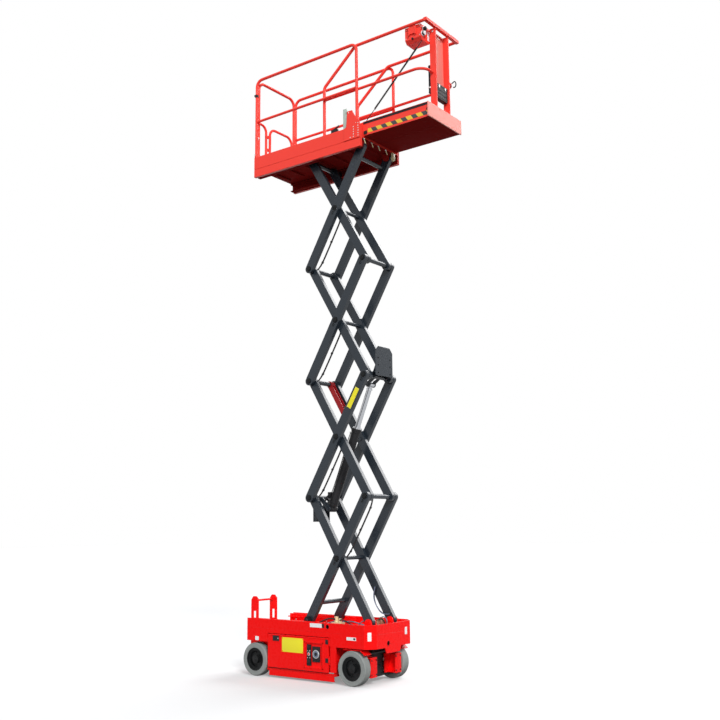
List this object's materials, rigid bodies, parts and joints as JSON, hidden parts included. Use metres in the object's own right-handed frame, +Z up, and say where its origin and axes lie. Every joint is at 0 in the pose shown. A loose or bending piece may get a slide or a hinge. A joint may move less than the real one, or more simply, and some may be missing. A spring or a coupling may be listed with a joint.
{
  "type": "scissor lift",
  "caption": "Slab scissor lift with steered wheels, swing-out trays, stacked folding arms, a lift cylinder and a railed platform with a roll-out deck.",
  "frame": {"origin": "on the ground, at the middle of the part's box", "axes": "+X forward, the way the roll-out deck goes; +Y to the machine's left; +Z up"},
  "size_m": [2.559, 0.76, 6.764],
  "materials": {
    "red_paint": "gloss",
    "grey_paint": "satin",
    "black": "matte",
    "tyre_grey": "matte",
    "hub_black": "satin",
    "cream": "satin",
    "steel": "satin",
    "chrome": "polished",
    "cord_rubber": "matte"
  },
  "bodies": {
    "chassis": {"chassis_frame": "red_paint", "well_side_walls": "red_paint", "well_nose_wall": "red_paint", "front_beam": "hub_black", "scissor_base": "red_paint", "entry_ladder": "red_paint", "rear_axle_stubs": "steel", "valve_block": "cream"},
    "right_tray": {"right_tray": "red_paint", "ground_controls": "black"},
    "left_tray": {"left_tray": "red_paint", "battery_pack": "black"},
    "right_guard": {"right_pothole_guard": "red_paint"},
    "left_guard": {"left_pothole_guard": "red_paint"},
    "right_steer": {"right_knuckle": "red_paint"},
    "left_steer": {"left_knuckle": "red_paint"},
    "tie_rod": {"tie_rod": "steel"},
    "barrel": {"lift_barrel": "black"},
    "rod": {"lift_rod": "chrome"},
    "prop": {"safety_prop": "red_paint"},
    "platform": {"main_deck": "red_paint", "platform_lugs": "grey_paint", "side_rails": "red_paint", "rear_rails": "red_paint", "lock_plate": "red_paint"},
    "gate": {"entry_gate": "red_paint"},
    "extension": {"extension_deck": "red_paint", "extension_toe_board": "red_paint", "extension_rails": "red_paint", "front_frame": "red_paint", "control_box": "red_paint", "control_knobs": "black", "manual_box": "black", "control_cord": "cord_rubber"},
    "wheel_front_right": {"tyre_front_right": "tyre_grey", "hub_front_right": "hub_black"},
    "wheel_front_left": {"tyre_front_left": "tyre_grey", "hub_front_left": "hub_black"},
    "wheel_rear_right": {"tyre_rear_right": "tyre_grey", "hub_rear_right": "hub_black"},
    "wheel_rear_left": {"tyre_rear_left": "tyre_grey", "hub_rear_left": "hub_black"},
    "outer_1": {"outer_arms_1": "grey_paint", "base_rollers": "steel"},
    "inner_1": {"inner_arms_1": "grey_paint", "lower_cable_guide": "grey_paint"},
    "outer_2": {"outer_arms_2": "grey_paint", "upper_cable_guide": "grey_paint"},
    "inner_2": {"inner_arms_2": "grey_paint"},
    "outer_3": {"outer_arms_3": "grey_paint"},
    "inner_3": {"inner_arms_3": "grey_paint"},
    "outer_4": {"outer_arms_4": "grey_paint"},
    "inner_4": {"inner_arms_4": "grey_paint", "platform_rollers": "steel"}
  },
  "joints": [
    {"name": "lift", "type": "hinge", "parent": "chassis", "child": "inner_1", "pos_m": [0.3725, 0, 0.596], "axis": [0, -1, 0], "range_deg": [0, 55.32]},
    {"name": "centre_1", "type": "hinge", "parent": "inner_1", "child": "outer_1", "pos_m": [0.0055, 0, 1.2195], "axis": [0, 1, 0], "range_deg": [0, 110.65]},
    {"name": "front_1", "type": "hinge", "parent": "outer_1", "child": "inner_2", "pos_m": [0.3725, 0, 1.843], "axis": [0, -1, 0], "range_deg": [0, 110.65]},
    {"name": "centre_2", "type": "hinge", "parent": "inner_2", "child": "outer_2", "pos_m": [0.0055, 0, 2.4665], "axis": [0, 1, 0], "range_deg": [0, 110.65]},
    {"name": "front_2", "type": "hinge", "parent": "outer_2", "child": "inner_3", "pos_m": [0.3725, 0, 3.09], "axis": [0, -1, 0], "range_deg": [0, 110.65]},
    {"name": "centre_3", "type": "hinge", "parent": "inner_3", "child": "outer_3", "pos_m": [0.0055, 0, 3.7135], "axis": [0, 1, 0], "range_deg": [0, 110.65]},
    {"name": "front_3", "type": "hinge", "parent": "outer_3", "child": "inner_4", "pos_m": [0.3725, 0, 4.337], "axis": [0, -1, 0], "range_deg": [0, 110.65]},
    {"name": "centre_4", "type": "hinge", "parent": "inner_4", "child": "outer_4", "pos_m": [0.0055, 0, 4.9605], "axis": [0, 1, 0], "range_deg": [0, 110.65]},
    {"name": "platform_level", "type": "hinge", "parent": "outer_4", "child": "platform", "pos_m": [0.3725, 0, 5.584], "axis": [0, -1, 0], "range_deg": [0, 55.33]},
    {"name": "barrel_pivot", "type": "hinge", "parent": "inner_1", "child": "barrel", "pos_m": [-0.25956, 0, 1.72895], "axis": [0, 1, 0], "range_deg": [0, 116.67]},
    {"name": "rod_slide", "type": "slide", "parent": "barrel", "child": "rod", "axis": [-0.3815, 0, -0.9244], "range_m": [0, 0.21243]},
    {"name": "right_guard_fold", "type": "hinge", "parent": "chassis", "child": "right_guard", "pos_m": [-0.2475, -0.356, 0.092], "axis": [1, 0, 0], "range_deg": [0, 90]},
    {"name": "left_guard_fold", "type": "hinge", "parent": "chassis", "child": "left_guard", "pos_m": [-0.2475, 0.356, 0.092], "axis": [-1, 0, 0], "range_deg": [0, 90]},
    {"name": "prop_swing", "type": "hinge", "parent": "inner_2", "child": "prop", "pos_m": [-0.3615, 0, 3.09], "axis": [0, -1, 0], "range_deg": [-30.5, 0]},
    {"name": "extension_slide", "type": "slide", "parent": "platform", "child": "extension", "axis": [-1, 0, 0], "range_m": [0, 0.822]},
    {"name": "gate_swing", "type": "hinge", "parent": "platform", "child": "gate", "pos_m": [-1.0835, -0.148, 5.928], "axis": [0, 0, -1], "range_deg": [0, 85]},
    {"name": "steer_right", "type": "hinge", "parent": "chassis", "child": "right_steer", "pos_m": [0.2765, -0.25, 0.1685], "axis": [0, 0, 1], "range_deg": [-40, 40]},
    {"name": "steer_left", "type": "hinge", "parent": "chassis", "child": "left_steer", "pos_m": [0.2765, 0.25, 0.1685], "axis": [0, 0, 1], "range_deg": [-43, 43]},
    {"name": "tie_rod_pivot", "type": "hinge", "parent": "right_steer", "child": "tie_rod", "pos_m": [0.3715, -0.25, 0.303], "axis": [0, 0, 1], "range_deg": [-43, 43]},
    {"name": "tray_right", "type": "hinge", "parent": "chassis", "child": "right_tray", "pos_m": [-0.0015, -0.371, 0.284], "axis": [0, 0, 1], "range_deg": [0, 90]},
    {"name": "tray_left", "type": "hinge", "parent": "chassis", "child": "left_tray", "pos_m": [-0.0015, 0.371, 0.284], "axis": [0, 0, -1], "range_deg": [0, 90]},
    {"name": "spin_front_right", "type": "hinge", "parent": "right_steer", "child": "wheel_front_right", "pos_m": [0.2765, -0.33, 0.1685], "axis": [0, 1, 0], "continuous": true},
    {"name": "spin_front_left", "type": "hinge", "parent": "left_steer", "child": "wheel_front_left", "pos_m": [0.2765, 0.33, 0.1685], "axis": [0, 1, 0], "continuous": true},
    {"name": "spin_rear_right", "type": "hinge", "parent": "chassis", "child": "wheel_rear_right", "pos_m": [-1.0095, -0.33, 0.1685], "axis": [0, 1, 0], "continuous": true},
    {"name": "spin_rear_left", "type": "hinge", "parent": "chassis", "child": "wheel_rear_left", "pos_m": [-1.0095, 0.33, 0.1685], "axis": [0, 1, 0], "continuous": true}
  ],
  "couplings": [
    {"joint": "centre_1", "follows": "lift", "ratio": 2},
    {"joint": "front_1", "follows": "lift", "ratio": 2},
    {"joint": "centre_2", "follows": "lift", "ratio": 2},
    {"joint": "front_2", "follows": "lift", "ratio": 2},
    {"joint": "centre_3", "follows": "lift", "ratio": 2},
    {"joint": "front_3", "follows": "lift", "ratio": 2},
    {"joint": "centre_4", "follows": "lift", "ratio": 2},
    {"joint": "platform_level", "follows": "lift", "ratio": 1},
    {"joint": "barrel_pivot", "follows": "lift", "ratio": 2.1087},
    {"joint": "rod_slide", "follows": "lift", "m_per_rad": 0.21997},
    {"joint": "right_guard_fold", "follows": "lift", "ratio": 1.6268},
    {"joint": "left_guard_fold", "follows": "lift", "ratio": 1.6268},
    {"joint": "steer_left", "follows": "steer_right", "ratio": 1},
    {"joint": "tie_rod_pivot", "follows": "steer_right", "ratio": -1}
  ]
}
